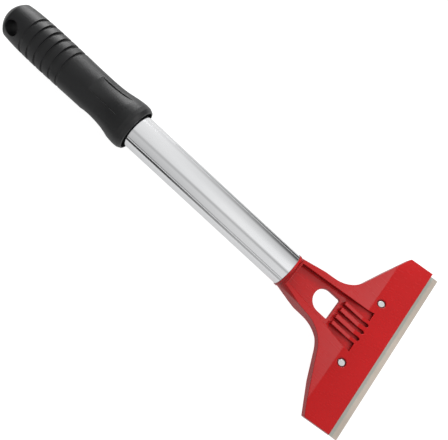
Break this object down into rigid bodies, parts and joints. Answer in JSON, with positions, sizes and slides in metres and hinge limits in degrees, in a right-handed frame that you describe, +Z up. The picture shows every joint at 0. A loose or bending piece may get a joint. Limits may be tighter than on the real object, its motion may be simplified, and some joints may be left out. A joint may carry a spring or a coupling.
{
  "type": "floor scraper",
  "caption": "Hand floor scraper: a wide straight blade clamped in a flared bent head on a round tube handle with a ribbed grip.",
  "frame": {"origin": "where the hanging hole crosses the handle's axis", "axes": "+X along the handle towards the blade, +Y along the blade's edge, +Z up, away from the clamp plate and its screws"},
  "size_m": [0.256, 0.1022, 0.0262],
  "materials": {
    "chrome_tube": "bright chrome plate on drawn steel tube",
    "grip_rubber": "satin moulded black rubber",
    "red_head": "glossy red paint on a cast head",
    "red_clamp": "glossy red paint on a steel plate",
    "blade_steel": "ground carbon steel, light oil",
    "bright_steel": "bright zinc plate"
  },
  "bodies": {
    "handle": {"tube": "chrome_tube", "grip": "grip_rubber", "head": "red_head", "tube_rivet": "bright_steel"},
    "blade_body": {"blade": "blade_steel"},
    "clamp": {"clamp_plate": "red_clamp", "flat_washer_left": "bright_steel", "flat_washer_right": "bright_steel", "lock_washer_left": "bright_steel", "lock_washer_right": "bright_steel"},
    "screw_left": {"clamp_screw_left": "bright_steel"},
    "screw_right": {"clamp_screw_right": "bright_steel"}
  },
  "joints": [
    {"name": "clamp_slide", "type": "slide", "parent": "handle", "child": "clamp", "axis": [0.342, 0, -0.9397], "range_m": [0, 0.0018]},
    {"name": "screw_left_spin", "type": "hinge", "parent": "clamp", "child": "screw_left", "pos_m": [0.23065, 0.0191, 0.0026], "axis": [0.342, 0, -0.9397], "range_deg": [0, 926.7]},
    {"name": "screw_right_spin", "type": "hinge", "parent": "clamp", "child": "screw_right", "pos_m": [0.23065, -0.0191, 0.0026], "axis": [0.342, 0, -0.9397], "range_deg": [0, 926.7]},
    {"name": "blade_slide", "type": "slide", "parent": "handle", "child": "blade_body", "axis": [0.9397, 0, 0.342], "range_m": [0, 0.022]}
  ],
  "couplings": [
    {"joint": "screw_left_spin", "follows": "clamp_slide", "rad_per_m": 8976},
    {"joint": "screw_right_spin", "follows": "clamp_slide", "rad_per_m": 8976}
  ]
}
